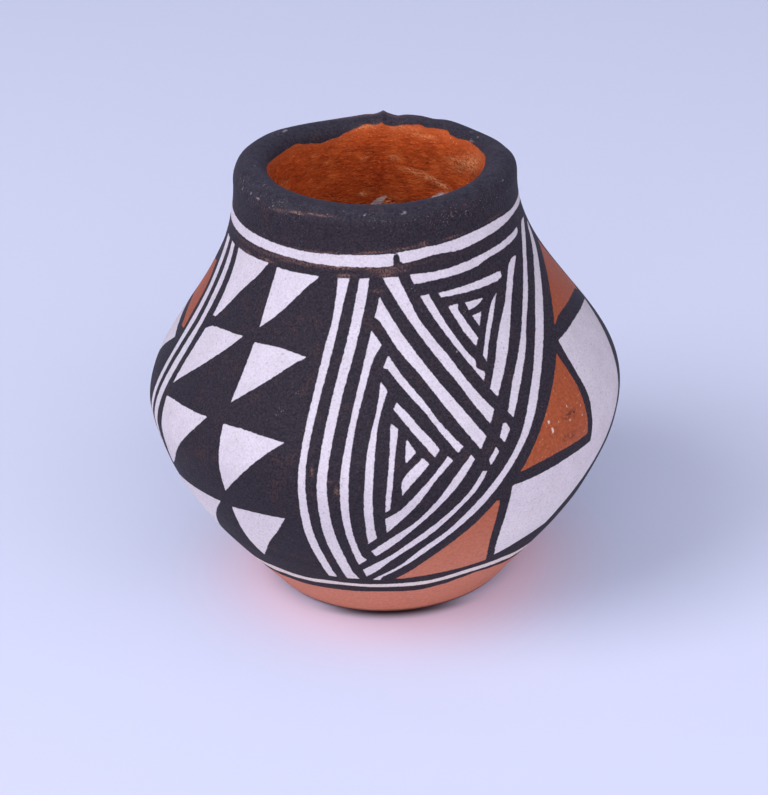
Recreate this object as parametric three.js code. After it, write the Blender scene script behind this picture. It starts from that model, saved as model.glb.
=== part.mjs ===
// A small coil-built clay pot: round belly, narrow neck and a thick rounded lip.
// It is made the way the real pot is put together. A dish of clay is pressed for the base, rolled
// coils are laid on it one after another and luted together, and a last coil is shaped into the rim.
// Millimetres, +Z up, origin at the middle of the foot.

import * as THREE from 'three';

// Outside form
const footRadius = 17;
const bellyRadius = 35;
const neckRadius = 20.4;
const bellyHeight = 30.6; // from the foot to the widest point
const shoulderHeight = 32.6; // from the widest point to the start of the lip
const lipHeight = 2.7; // from the start of the lip to its top

// Reach of each bend of the outside, as a share of the rise or spread that it belongs to
const footFlare = 0.56;
const footLift = 0.42;
const bellyRoundBelow = 0.29;
const bellyRoundAbove = 0.26;
const neckPull = 0.45;

// Clay thickness
const wallThickness = 4.5;
const lipWidth = 5.1;
const floorThickness = 5;

// Underside
const footRecessRadius = 10;
const footRecessDepth = 0.7;
const footRecessSlopeWidth = 2;
const heelRound = 2;

// How the clay is built up, measured along the outside of the wall
const dishReach = 12; // from the heel to the first coil
const rimReach = 6; // from the last coil to the start of the lip
const coilCount = 6;
const lutingLapLength = 1.4; // how far a coil is dragged down over the one below, on the inside
const coilBulgeHeight = 0.35; // what is left of each coil's roundness on the inside
const lipBlendLength = 4.5; // from the thick lip down to the even wall, on the inside

// A hand-shaped lip is not quite level or central: it leans, waves twice on its way round, has one small
// peak with a shallow dip on either side, and sits a little to the right. Facings and spreads in degrees.
const lipLeanHeight = 0.5;
const lipLeanFacing = 182;
const lipWaveHeight = 0.23;
const lipWaveFacing = 4;
const lipPeakHeight = 0.4;
const lipPeakFacing = 85;
const lipPeakSpread = 7;
const leftDipDepth = 0.37;
const leftDipFacing = 113;
const leftDipSpread = 17;
const rightDipDepth = 0.62;
const rightDipFacing = 32;
const rightDipSpread = 17;
const lipShift = 0.25;
const lipPower = 0.8; // below 1 the lip's section is fuller than an ellipse

// Fineness of the faceted surface
const facetsAround = 64;
const stepsPerCoil = 4;
const stepsInsideCoil = 3;
const stepsPerLip = 10;
const stepsPerDish = 7;
const stepsPerHeel = 3;

const orangeSlip = new THREE.MeshStandardMaterial({ color: '#b9683f', roughness: 0.62, metalness: 0 });
const whiteSlip = new THREE.MeshStandardMaterial({ color: '#d6cdd2', roughness: 0.58, metalness: 0 });
const blackPaint = new THREE.MeshStandardMaterial({ color: '#322e35', roughness: 0.66, metalness: 0 });

const collarHeight = bellyHeight + shoulderHeight;
const height = collarHeight + lipHeight;

const lowerBody = new THREE.CubicBezierCurve(
  new THREE.Vector2(footRadius, 0),
  new THREE.Vector2(footRadius + footFlare * (bellyRadius - footRadius), footLift * bellyHeight),
  new THREE.Vector2(bellyRadius, (1 - bellyRoundBelow) * bellyHeight),
  new THREE.Vector2(bellyRadius, bellyHeight),
);
const upperBody = new THREE.CubicBezierCurve(
  new THREE.Vector2(bellyRadius, bellyHeight),
  new THREE.Vector2(bellyRadius, bellyHeight + bellyRoundAbove * shoulderHeight),
  new THREE.Vector2(neckRadius, collarHeight - neckPull * shoulderHeight),
  new THREE.Vector2(neckRadius, collarHeight),
);
const outline = new THREE.CurvePath();
outline.add(lowerBody);
outline.add(upperBody);

const wallLength = outline.getLength();
const coilReach = (wallLength - dishReach - rimReach) / coilCount;

// Evenly spaced numbers from one value to another, both included.
function spaced(from, to, steps) {
  return Array.from({ length: steps + 1 }, (_, i) => from + ((to - from) * i) / steps);
}

// The outside of the wall, at a distance along it from the foot.
function outsideAt(reach) {
  return outline.getPoint(reach / wallLength);
}

// The inside of the wall at the same place: the outside moved square to itself by the thickness.
function insideAt(reach, thickness = wallThickness) {
  const outside = outsideAt(reach);
  const along = outline.getTangent(reach / wallLength);
  return new THREE.Vector2(outside.x - along.y * thickness, outside.y + along.x * thickness);
}

// The pressed dish: shallow recess, flat resting ring, rounded heel, wall, and a floor that curves into it.
function dishProfile() {
  const heelStart = new THREE.Vector2(footRadius - heelRound, 0);
  const heel = new THREE.QuadraticBezierCurve(
    heelStart,
    new THREE.Vector2(footRadius, 0),
    outsideAt(heelRound),
  );
  const seatInside = insideAt(dishReach - lutingLapLength);
  const seatSlope = outline.getTangent((dishReach - lutingLapLength) / wallLength);
  const drop = seatInside.y - floorThickness;
  const floor = new THREE.QuadraticBezierCurve(
    seatInside,
    new THREE.Vector2(seatInside.x - (drop * seatSlope.x) / seatSlope.y, floorThickness),
    new THREE.Vector2(0, floorThickness),
  );
  return [
    new THREE.Vector2(0, footRecessDepth),
    new THREE.Vector2(footRecessRadius - footRecessSlopeWidth, footRecessDepth),
    new THREE.Vector2(footRecessRadius, 0),
    ...heel.getPoints(stepsPerHeel),
    ...spaced(heelRound, dishReach, stepsPerDish).slice(1).map(outsideAt),
    ...floor.getPoints(stepsPerDish),
  ];
}

// One coil: up the outside, square across the wall to the seat of the next coil, and down the inside.
function coilProfile(start) {
  const end = start + coilReach;
  const inside = spaced(end, start, stepsInsideCoil).map((reach) => {
    const bulge = coilBulgeHeight * Math.sin((Math.PI * (reach - start)) / coilReach);
    return insideAt(reach - lutingLapLength, wallThickness + bulge);
  });
  const outside = spaced(start, end, stepsPerCoil).map(outsideAt);
  return [...outside, ...inside, outside[0]];
}

// The rim coil: neck, thick rounded lip, and back down to the seat on the last body coil.
function rimProfile() {
  const seat = wallLength - rimReach;
  const lip = spaced(0, Math.PI, stepsPerLip).slice(1).map((turn) => new THREE.Vector2(
    neckRadius - (lipWidth / 2) * (1 - Math.cos(turn)),
    collarHeight + lipHeight * Math.max(Math.sin(turn), 0) ** lipPower,
  ));
  const outside = spaced(seat, wallLength, stepsPerCoil).map(outsideAt);
  return [
    ...outside,
    ...lip,
    insideAt(wallLength - lipBlendLength),
    insideAt(seat - lutingLapLength),
    outside[0],
  ];
}

// 1 at the facing, falling off as a bell curve to either side of it.
function bell(degrees, facing, spread) {
  const aside = THREE.MathUtils.euclideanModulo(degrees - facing + 180, 360) - 180;
  return Math.exp(-((aside / spread) ** 2));
}

// How far the lip stands above or below its even height, at an angle round the pot.
function lipRise(angle) {
  const radians = THREE.MathUtils.degToRad;
  const degrees = THREE.MathUtils.radToDeg(angle);
  return lipLeanHeight * Math.cos(angle - radians(lipLeanFacing))
    + lipWaveHeight * Math.cos(2 * (angle - radians(lipWaveFacing)))
    + lipPeakHeight * bell(degrees, lipPeakFacing, lipPeakSpread)
    - leftDipDepth * bell(degrees, leftDipFacing, leftDipSpread)
    - rightDipDepth * bell(degrees, rightDipFacing, rightDipSpread);
}

// Moves each point by the lip's unevenness, from nothing at the seat to all of it at the top.
function shapeLip(geometry) {
  const seatHeight = outsideAt(wallLength - rimReach).y;
  const position = geometry.attributes.position;
  for (let i = 0; i < position.count; i += 1) {
    const share = THREE.MathUtils.smoothstep(position.getZ(i), seatHeight, height);
    const rise = share * lipRise(Math.atan2(position.getY(i), position.getX(i)));
    position.setX(i, position.getX(i) + share * lipShift);
    position.setZ(i, position.getZ(i) + rise);
  }
  geometry.computeVertexNormals();
}

// A ring or dish of clay turned from its section, standing up along +Z.
function turned(name, profile, material) {
  const geometry = new THREE.LatheGeometry(profile, facetsAround);
  geometry.rotateX(Math.PI / 2);
  const mesh = new THREE.Mesh(geometry, material);
  mesh.name = name;
  return mesh;
}

const pot = new THREE.Group();
pot.name = 'clay_pot';
pot.add(turned('base_dish', dishProfile(), orangeSlip));
for (let i = 0; i < coilCount; i += 1) {
  pot.add(turned(`wall_coil_${i + 1}`, coilProfile(dishReach + i * coilReach), whiteSlip));
}
const rimCoil = turned('rim_coil', rimProfile(), blackPaint);
shapeLip(rimCoil.geometry);
pot.add(rimCoil);

export default pot;
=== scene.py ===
import math

import bpy
import numpy as np
from mathutils import Matrix, Vector


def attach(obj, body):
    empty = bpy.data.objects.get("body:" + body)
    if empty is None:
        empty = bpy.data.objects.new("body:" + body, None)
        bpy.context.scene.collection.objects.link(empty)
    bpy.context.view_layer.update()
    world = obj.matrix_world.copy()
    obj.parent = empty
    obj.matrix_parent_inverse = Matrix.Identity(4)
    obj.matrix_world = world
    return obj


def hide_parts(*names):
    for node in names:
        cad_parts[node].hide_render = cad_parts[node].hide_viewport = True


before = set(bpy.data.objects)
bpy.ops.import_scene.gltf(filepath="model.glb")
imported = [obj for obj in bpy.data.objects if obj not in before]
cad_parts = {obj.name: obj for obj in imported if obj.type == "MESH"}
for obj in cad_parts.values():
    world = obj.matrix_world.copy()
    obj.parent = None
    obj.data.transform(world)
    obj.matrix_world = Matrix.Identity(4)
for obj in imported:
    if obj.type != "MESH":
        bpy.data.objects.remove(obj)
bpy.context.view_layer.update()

# Camera
# A long lens looks down on the pot from in front, with the frame turned a little about its own middle.
# Its height and distance come from the ellipses of the lip and foot in the photograph.
picture_height = 795  # pixels, of a picture 768 wide
picture_middle = (384, 397.5)
aim_pixel = (384.69, 381.54)  # where the point that the camera looks at appears
aim_height = 0.030
camera_distance = 0.37949
camera_pitch = math.radians(26.369)
camera_roll = math.radians(-3.052)
lens_in_pixels = 2539.6
sensor = 36

aim = Vector((0, 0, aim_height))
place = aim + camera_distance * Vector((0, -math.cos(camera_pitch), math.sin(camera_pitch)))
forward = (aim - place).normalized()
level = Vector((1, 0, 0))
upward = level.cross(forward)
camera_right = level * math.cos(camera_roll) + upward * math.sin(camera_roll)
camera_up = upward * math.cos(camera_roll) - level * math.sin(camera_roll)

camera_data = bpy.data.cameras.new("camera")
camera_data.sensor_width = sensor
camera_data.lens = lens_in_pixels * sensor / picture_height
camera_data.shift_x = (picture_middle[0] - aim_pixel[0]) / picture_height
camera_data.shift_y = (aim_pixel[1] - picture_middle[1]) / picture_height
camera_data.clip_start = 0.01
camera = bpy.data.objects.new("camera", camera_data)
camera.matrix_world = Matrix.Translation(place) @ Matrix(
    (camera_right, camera_up, -forward)).transposed().to_4x4()
bpy.context.scene.collection.objects.link(camera)
bpy.context.scene.camera = camera

# Base dish
# The pot starts as a dish of clay pressed out over a rounded support, with a small flat foot.
# Its underside is scraped a little hollow, and the orange slip runs down over the heel to the table.
millimetre = 0.001
foot_radius = 17
belly_radius = 35
neck_radius = 20.4
belly_height = 30.6
collar_height = 63.2
wall_thickness = 4.5
floor_thickness = 5
recess_radius = 10
recess_depth = 0.7
recess_slope = 2
heel_round = 2.0
foot_flare = 0.56  # the reach of each bend, as a share of the rise or spread that it belongs to
foot_lift = 0.42
belly_round_below = 0.29
belly_round_above = 0.26
neck_pull = 0.45
dish_reach = 12  # along the outside, from the heel to the first coil
coil_count = 6
rim_reach = 6  # from the last coil to the start of the lip
luting_lap = 1.4
coil_bulge = 0.35
lip_width = 5.1
lip_height = 2.7
lip_power = 0.8
lip_blend = 4.5  # from the lip down to the even wall, on the inside
lip_blend_fullness = 0.33
columns = 1080


def bezier(corners, share):
    """A cubic Bezier curve: the four corners weighted by (1-t)^3, 3(1-t)^2 t, 3(1-t)t^2 and t^3."""
    t = share[:, None]
    weights = ((1 - t) ** 3, 3 * (1 - t) ** 2 * t, 3 * (1 - t) * t**2, t**3)
    return sum(weight * np.array(corner, float) for weight, corner in zip(weights, corners))


def length_along(line):
    """Distance from the start of a line to each of its points: the running sum of its steps."""
    return np.concatenate([[0], np.cumsum(np.hypot(*np.diff(line, axis=0).T))])


def outer_wall(reach):
    """Radius and height of the outside, and the direction that it runs in, at a distance from the heel."""
    place = np.stack([np.interp(reach, wall_reach, wall_line[:, i]) for i in (0, 1)], 1)
    along = np.stack([np.interp(reach, wall_reach, wall_way[:, i]) for i in (0, 1)], 1)
    return place, along / np.hypot(*along.T)[:, None]


def inner_wall(reach):
    """The inside: the outside moved square to itself by the wall, and by sin(pi x) over each coil's
    height x."""
    place, along = outer_wall(reach)
    share = (reach + luting_lap - dish_reach) / coil_reach
    inside_coils = (share > 0) & (share < coil_count)
    thickness = wall_thickness + coil_bulge * np.where(inside_coils, np.abs(np.sin(np.pi * share)), 0)
    return place + np.stack([-along[:, 1], along[:, 0]], 1) * thickness[:, None]


# Two curves that meet at the belly make the outside, from the heel up to the start of the lip.
fine = np.linspace(0, 1, 3001)
swell = belly_radius - foot_radius
shoulder = collar_height - belly_height
lower_body = bezier([(foot_radius, 0), (foot_radius + foot_flare * swell, foot_lift * belly_height),
                     (belly_radius, (1 - belly_round_below) * belly_height),
                     (belly_radius, belly_height)], fine)
upper_body = bezier([(belly_radius, belly_height),
                     (belly_radius, belly_height + belly_round_above * shoulder),
                     (neck_radius, collar_height - neck_pull * shoulder),
                     (neck_radius, collar_height)], fine)
wall_line = np.concatenate([lower_body, upper_body[1:]])
wall_reach = length_along(wall_line)
wall_way = np.gradient(wall_line, axis=0)
wall_length = wall_reach[-1]
coil_reach = (wall_length - dish_reach - rim_reach) / coil_count
coil_joints = dish_reach + coil_reach * np.arange(coil_count + 1)

# The skin of the clay is one line: up the outside, over the lip, down the inside and across the floor.
# A negative reach is the underside, and every place on the pot is an angle and a reach.
half_turn = np.linspace(0, math.pi, 400)
lip_line = np.stack([neck_radius - lip_width / 2 * (1 - np.cos(half_turn)),
                     collar_height + lip_height * np.maximum(np.sin(half_turn), 0) ** lip_power], 1)
lip_inside = lip_line[-1]
blend_end = inner_wall(np.array([wall_length - lip_blend - 0.1, wall_length - lip_blend]))
blend_way = (blend_end[0] - blend_end[1]) / np.hypot(*(blend_end[0] - blend_end[1]))
blend_pull = lip_blend_fullness * np.hypot(*(blend_end[1] - lip_inside))
blend_line = bezier([lip_inside, lip_inside - (0, blend_pull),
                     blend_end[1] - blend_way * blend_pull, blend_end[1]], fine[::20])
lip_end = wall_length + length_along(lip_line)[-1]
inner_start = lip_end + length_along(blend_line)[-1]
inner_reach = np.arange(wall_length - lip_blend, dish_reach - luting_lap, -0.05)
seat_way = outer_wall(np.array([dish_reach - luting_lap]))[1]
seat_inside = inner_wall(np.array([dish_reach - luting_lap]))[0]
floor_drop = seat_inside[1] - floor_thickness
floor_turn = (seat_inside[0] - floor_drop * seat_way[0, 0] / seat_way[0, 1], floor_thickness)
floor_line = bezier([seat_inside, seat_inside + (np.array(floor_turn) - seat_inside) * 2 / 3,
                     np.array(floor_turn) * (1 / 3, 1) * (2, 1), (0, floor_thickness)], fine[::20])
heel_end = outer_wall(np.array([heel_round]))[0][0]
heel_line = bezier([(foot_radius - heel_round, 0), (foot_radius - heel_round / 3, 0),
                    ((2 * foot_radius + heel_end[0]) / 3, heel_end[1] / 3), heel_end], fine[::20])
slope = np.linspace(0, 1, 21)
recess_line = np.stack([recess_radius - recess_slope * (1 - slope),
                        recess_depth * (1 - slope**2 * (3 - 2 * slope))], 1)
under_line = np.concatenate([[(0, recess_depth)], recess_line, heel_line])


def inner_place(outer_reach):
    """Where on the skin's line the inside lies that is opposite a reach on the outside."""
    return inner_start + wall_length - lip_blend - outer_reach


skin_line = np.concatenate([under_line, wall_line[wall_reach > heel_round], lip_line[1:],
                            blend_line[1:], inner_wall(inner_reach[1:]), floor_line])
skin_reach = np.concatenate([
    heel_round - length_along(under_line[::-1])[::-1],
    wall_reach[wall_reach > heel_round],
    wall_length + length_along(lip_line)[1:],
    lip_end + length_along(blend_line)[1:],
    inner_place(inner_reach[1:]),
    inner_place(dish_reach - luting_lap) + length_along(floor_line),
])
skin_way = np.gradient(skin_line, skin_reach, axis=0)
skin_out = np.stack([skin_way[:, 1], -skin_way[:, 0]], 1) / np.hypot(*skin_way.T)[:, None]

# A hand-shaped lip leans, waves twice on its way round, and sits a little to the right.
# It has one small peak at the back, with dips beside it: (millimetres, degrees from the right, spread).
lip_lean = (0.5, 182)
lip_wave = (0.23, 4)
lip_bumps = [(0.40, 85.1, 2.8), (0.17, 84.8, 0.9), (0.12, 93, 4), (-0.22, 78.2, 2.5), (-0.37, 113, 17),
             (-0.28, 61, 5), (-0.62, 32, 17), (-0.22, 14, 7)]
lip_shift = 0.25
seat_height = outer_wall(coil_joints[-1:])[0][0, 1]


def lip_rise(facing):
    """Lean and wave as cosines of the angle and of twice the angle, and each bump as a bell curve."""
    rise = (lip_lean[0] * np.cos(np.radians(facing - lip_lean[1]))
            + lip_wave[0] * np.cos(2 * np.radians(facing - lip_wave[1])))
    for bump, middle, spread in lip_bumps:
        aside = (facing - middle + 180) % 360 - 180
        rise = rise + bump * np.exp(-((aside / spread) ** 2))
    return rise


def hand_marks(angle, reach, seed, waves, shortest):
    """Sum of cosine waves in random directions, whole round the pot, longer than the shortest length."""
    draw = np.random.default_rng(seed)
    total = np.zeros(np.broadcast(angle, reach).shape)
    for _ in range(waves):
        across = draw.integers(0, int(200 / shortest))
        along = draw.uniform(-2 * math.pi, 2 * math.pi) / shortest
        total += np.cos(np.radians(angle) * across + reach * along + draw.uniform(0, 2 * math.pi))
    return total / math.sqrt(waves)


# Shaped by hand, the body is not quite round either: it is fuller low down on both sides, and a little
# flatter above that on the left, in (height, millimetres).
fuller_left = [(0, 0.58), (13.5, 0.58), (15, 0.36), (17, 0.2), (20, 0)]
flatter_left = [(20, 0), (25, 0.28), (27.5, 0.28), (31, 0)]
fuller_right = [(3.5, 0), (7, 0.45), (12, 0.72), (16, 0.6), (18.5, 0.4), (22, 0.2), (27, 0)]
wall_mark_depth = 0.035  # marks of the hand and the scraper
lining_mark_depth = 0.08
wall_mark_fade = 8  # marks fade out over this length at the heel and at the middle of the floor
lining_mark_fade = 3


def unevenness(angle, height):
    """How far the body is from round: on the left it swings from 1 there to 0 at the right as
    (1 + cos) / 2 of the angle between, and the other two fade by the cosine and its square, to
    nothing 90 degrees from their side."""
    from_left = np.cos(np.radians(angle + 90))
    left, flatter, right = (np.interp(height, *zip(*line))
                            for line in (fuller_left, flatter_left, fuller_right))
    return (left * (1 + from_left) / 2 - flatter * np.maximum(from_left, 0)
            + right * np.maximum(-from_left, 0) ** 2)


def clay_surface(reach):
    """The skin at each reach, turned round the axis: x = r sin a, y = -r cos a, with a from the front.
    Hand marks move it along its own normal. The lip's rise and shift fade in above the last seat."""
    angle = np.linspace(-180, 180, columns, endpoint=False)[None, :]
    reach = reach[:, None]
    radius, height, out_r, out_z = (
        np.interp(reach, skin_reach, line) for line in (*skin_line.T, *skin_out.T))
    inside = np.clip((reach - lip_end) / lining_mark_fade, 0, 1)
    outside = np.clip(reach / wall_mark_fade, 0, 1) * (1 - inside)
    marks = wall_mark_depth * outside * hand_marks(angle, reach, seed=3, waves=14, shortest=11)
    marks = marks + lining_mark_depth * inside * hand_marks(angle, reach, seed=5, waves=26, shortest=4.5)
    marks = marks * np.clip((skin_reach[-1] - reach) / wall_mark_fade, 0, 1)
    share = np.clip((height - seat_height) / (collar_height + lip_height - seat_height), 0, 1)
    share = share**2 * (3 - 2 * share)
    on_outside = np.clip((radius - recess_radius) / 6, 0, 1) * (reach < wall_length)
    radius = radius + marks * out_r + on_outside * unevenness(angle, height)
    turn = np.radians(angle)
    points = np.stack(np.broadcast_arrays(
        radius * np.sin(turn) + share * lip_shift,
        -radius * np.cos(turn),
        height + marks * out_z + share * lip_rise(angle - 90),
    ), 2)
    return points * millimetre


def steps(start, end, spacing):
    """Evenly spaced reaches from start to end, both included, no further apart than the spacing."""
    return np.linspace(start, end, math.ceil(abs(end - start) / spacing) + 1)


def map_strips(rows, low, high, folds):
    """Lays a belt of faces in the map as stacked strips, between two heights: u runs along a strip and
    v is (strip + share of the rows) / strips. It gives each face its four corners."""
    margin = 0.004
    column = np.arange(columns)
    strip = column * folds // columns
    start = (column * folds % columns) / columns
    u = np.stack([start, start + folds / columns, start + folds / columns, start])
    v = np.arange(rows - 1) / (rows - 1)
    v = np.stack([v, v, v + 1 / (rows - 1), v + 1 / (rows - 1)])
    height = (high - low) / folds
    tall = low + height * strip[None, None, :] + margin + (height - 2 * margin) * v[:, :, None]
    wide = np.broadcast_to((margin + (1 - 2 * margin) * u)[:, None, :], tall.shape)
    return np.stack([wide, tall], 3).transpose(1, 2, 0, 3)


# Where the faces of the seats lie in the map, and the two fans of faces at the middle of the foot and floor.
seats_low = 0.94
seat_share = 0.03
foot_fan, floor_fan = 0.02, 0.06
fan_height = 0.985
fan_radius = 0.013


def raise_clay(name, belts, ends_on_axis=False):
    """One solid course of clay. Each belt is (reaches, low, high, strips): rows of skin, and its part of
    the map. The belts follow each other round the section, and the seat faces between them close it."""
    reach = np.concatenate([belt[0] for belt in belts])
    points = clay_surface(reach)
    rows = len(reach)
    below = np.arange(rows)[:, None] * columns + np.arange(columns)[None, :]
    right = np.roll(below, -1, axis=1)
    faces, corners = [], []
    first = 0
    for index, (belt_reach, low, high, strips) in enumerate(belts):
        last = first + len(belt_reach)
        faces.append(np.stack([below[first:last - 1], right[first:last - 1],
                               right[first + 1:last], below[first + 1:last]], 2))
        corners.append(map_strips(len(belt_reach), low, high, strips))
        following = last % rows
        if following or not ends_on_axis:
            seat = [below[last - 1:last], right[last - 1:last],
                    right[following:following + 1], below[following:following + 1]]
            faces.append(np.stack(seat, 2))
            seat_low = seats_low + seat_share * index
            corners.append(map_strips(2, seat_low, seat_low + seat_share, 1))
        first = last
    faces = np.concatenate([f.reshape(-1, 4) for f in faces]).tolist()
    corners = np.concatenate([c.reshape(-1, 2) for c in corners])
    points = points.reshape(-1, 3)
    if ends_on_axis:
        poles = np.array([[0, 0, skin_line[0, 1]], [0, 0, skin_line[-1, 1]]]) * millimetre
        points = np.concatenate([points, poles])
        under, over = len(points) - 2, len(points) - 1
        faces += np.stack([below[0] * 0 + under, right[0], below[0]], 1).tolist()
        faces += np.stack([below[-1], right[-1], below[-1] * 0 + over], 1).tolist()
        turn = np.radians(np.arange(columns + 1) * 360 / columns)
        for middle in (foot_fan, floor_fan):
            edge = np.stack([middle + fan_radius * np.sin(turn), fan_height + fan_radius * np.cos(turn)], 1)
            hub = np.full((columns, 2), (middle, fan_height))
            fan = [hub, edge[1:], edge[:-1]] if middle == foot_fan else [edge[:-1], edge[1:], hub]
            corners = np.concatenate([corners, np.stack(fan, 1).reshape(-1, 2)])
    mesh = bpy.data.meshes.new(name)
    mesh.from_pydata(points.tolist(), [], faces)
    mesh.uv_layers.new(name="OFBake").uv.foreach_set("vector", corners.astype(np.float32).ravel())
    mesh.shade_smooth()
    mesh.set_sharp_from_angle(angle=math.radians(50))
    angle = np.linspace(-180, 180, columns, endpoint=False)[None, :]
    for layer, value in painted(angle, reach[:, None]).items():
        value = np.broadcast_to(value, (rows, columns)).ravel()
        if ends_on_axis:
            value = np.append(value, value[[0, -1]])
        mesh.attributes.new(layer, "FLOAT", "POINT").data.foreach_set("value", value.astype(np.float32))
    piece = bpy.data.objects.new(name, mesh)
    bpy.context.scene.collection.objects.link(piece)
    return piece


# Painted design
# The potter slips the body white and the foot orange, lays orange blocks, and brushes black round them all.
# One unit of the design takes half the pot: a panel of triangles, bands of brush lines nested into
# diamonds, a diagonal band, and orange steps. It is painted twice round, the second time by eye.
# Points are (degrees from the front, millimetres along the wall from the heel).
white_panel_triangles = [
    [(-67, 55.1), (-65.2, 55.2), (-63.2, 56.6), (-57.3, 60.4), (-50, 63.8), (-45.8, 65.9), (-66.8, 65.7)],
    [(-42.9, 56.9), (-40, 58.1), (-35, 60.3), (-28, 63.6), (-22.5, 65.6), (-41.2, 65.7), (-42.8, 61)],
    [(-69.1, 43.3), (-66.5, 44.9), (-60, 48.4), (-55, 51.2), (-48.2, 54.9), (-62.5, 54.1), (-67.4, 52.9),
     (-68.6, 47.5)],
    [(-43.6, 45.6), (-40, 47.4), (-35, 49.7), (-28, 52.8), (-23.5, 54.3), (-33, 54.9), (-43, 54.7),
     (-43.2, 50.5)],
    [(-69, 30), (-65, 31.8), (-61.7, 34), (-55, 38.6), (-49.7, 42.4), (-64.7, 41.7), (-69.4, 41.2),
     (-68.6, 36)],
    [(-42.7, 32.1), (-35, 37), (-30.3, 39.8), (-25.5, 42.1), (-35.7, 42.6), (-43.8, 42.5), (-43.1, 37.5)],
    [(-67, 15.5), (-63, 18.2), (-58.5, 20.9), (-54.5, 23.7), (-50.3, 26.6), (-46.5, 29.1), (-60, 28.6),
     (-68.5, 27.9), (-69, 22)],
    [(-42.3, 16.8), (-39.4, 19), (-34.6, 22.9), (-29.7, 26.6), (-26.4, 29.8), (-35, 29.5),
     (-42.5, 29), (-43.6, 24.9), (-44.1, 21.5), (-43.5, 18.4)],
]
white_upright_lines = [
    [(-80, 14.2), (-79.4, 28), (-79.2, 41), (-79.7, 51), (-81.5, 57), (-83.3, 61), (-83.5, 65.5),
     (-78.6, 65.5), (-78.8, 61), (-77.8, 57), (-76.7, 52), (-77.1, 46), (-77, 40), (-77, 28), (-77.2, 14.2)],
    [(-75.5, 14.2), (-75, 28), (-74.9, 40), (-74.1, 49.3), (-73.5, 53), (-74.4, 58), (-74.7, 65.6),
     (-71.1, 65.6), (-70.9, 57.3), (-71.1, 49.3), (-71.6, 44), (-72.1, 40), (-72.4, 28), (-72.6, 14.2)],
    [(-20.9, 14.9), (-21.9, 25), (-21.4, 35), (-20.4, 45), (-18.5, 55), (-16.5, 60), (-15.3, 65.6),
     (-10.9, 65.6), (-12.9, 62.4), (-15, 57.5), (-17.4, 50), (-19, 42.5), (-19.6, 35), (-19.5, 25),
     (-18.3, 14.7)],
    [(-15.1, 14.5), (-16.8, 25), (-16.9, 35), (-16.2, 40), (-14.8, 47.5), (-12.2, 55), (-9.9, 60),
     (-7.3, 65.6), (-3.7, 65.6), (-4.8, 63.2), (-7.7, 57.5), (-11.4, 50), (-14, 40), (-14.5, 33),
     (-13.8, 25), (-12.6, 17.5), (-11.2, 14.6)],
    [(-9.9, 19.4), (-10.6, 22.5), (-11.5, 30), (-11.3, 37.5), (-9.5, 45), (-6.6, 52.5), (-4, 57.5),
     (-3.3, 58.4), (-0.3, 56.4), (-3.6, 53.7), (-7.9, 45), (-9.6, 35), (-9.6, 28), (-8.6, 22.5), (-7.4, 21)],
    [(-6.2, 25.6), (-6.3, 32), (-5.7, 37.5), (-4.7, 42.5), (-2.4, 47.5), (-1.1, 51.3), (0.7, 50),
     (-1.1, 47.5), (-2.7, 43.7), (-4, 36), (-4.3, 30), (-3.9, 27)],
    [(-1.4, 32.4), (-1, 35.5), (0, 40), (0.9, 45.6), (2.7, 44.6), (1.5, 41), (0.7, 37.5), (-0.4, 32.8)],
    [(4.5, 43.2), (6.4, 41.3), (5, 40.4), (3.7, 39.8), (4.1, 42)],
]
white_falling_lines = [
    [(1.3, 65.6), (6.9, 65.6), (10, 62.4), (12.5, 59.5), (17.5, 55.4), (20, 53.2), (24.2, 48.6),
     (27.9, 45), (25.8, 43.2), (22.6, 46.9), (20, 50), (15, 54.6), (10, 58.8), (5, 62.7)],
    [(-0.2, 63), (1.7, 61.5), (5, 58.8), (10, 54.8), (15, 50.5), (20, 45.8), (23.9, 41.7), (21.9, 40.1),
     (15, 47.2), (10, 51.9), (5, 55.3), (0.1, 59.2), (-2.2, 60.2)],
    [(1.5, 54.9), (5, 52), (10, 48.1), (13, 45), (17.8, 41), (16.3, 40.3), (13, 43.4), (10, 46.4),
     (5, 50.1), (1.1, 53), (-0.3, 53.2)],
    [(2.8, 48.3), (5, 46.9), (10, 43), (12.1, 41.2), (10.7, 40.2), (5, 44.9), (1.9, 47.4)],
]
white_rising_lines = [
    [(19.3, 39.7), (20, 39), (15, 35.4), (10, 32), (5, 28.6), (-0.1, 25), (-4.8, 22.2), (-5.8, 23.6),
     (0, 27.1), (5, 29.8), (10, 33.3), (15, 37.2)],
    [(13.7, 40.1), (14.8, 39.4), (10, 36.8), (5.9, 33.4), (-1.4, 28.2), (-1.5, 31.2), (2, 32.7),
     (7.4, 36.2), (11.9, 39)],
    [(7.8, 40.4), (9.2, 39.4), (5, 36.9), (2.6, 35.2), (3, 37.7)],
]
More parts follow.
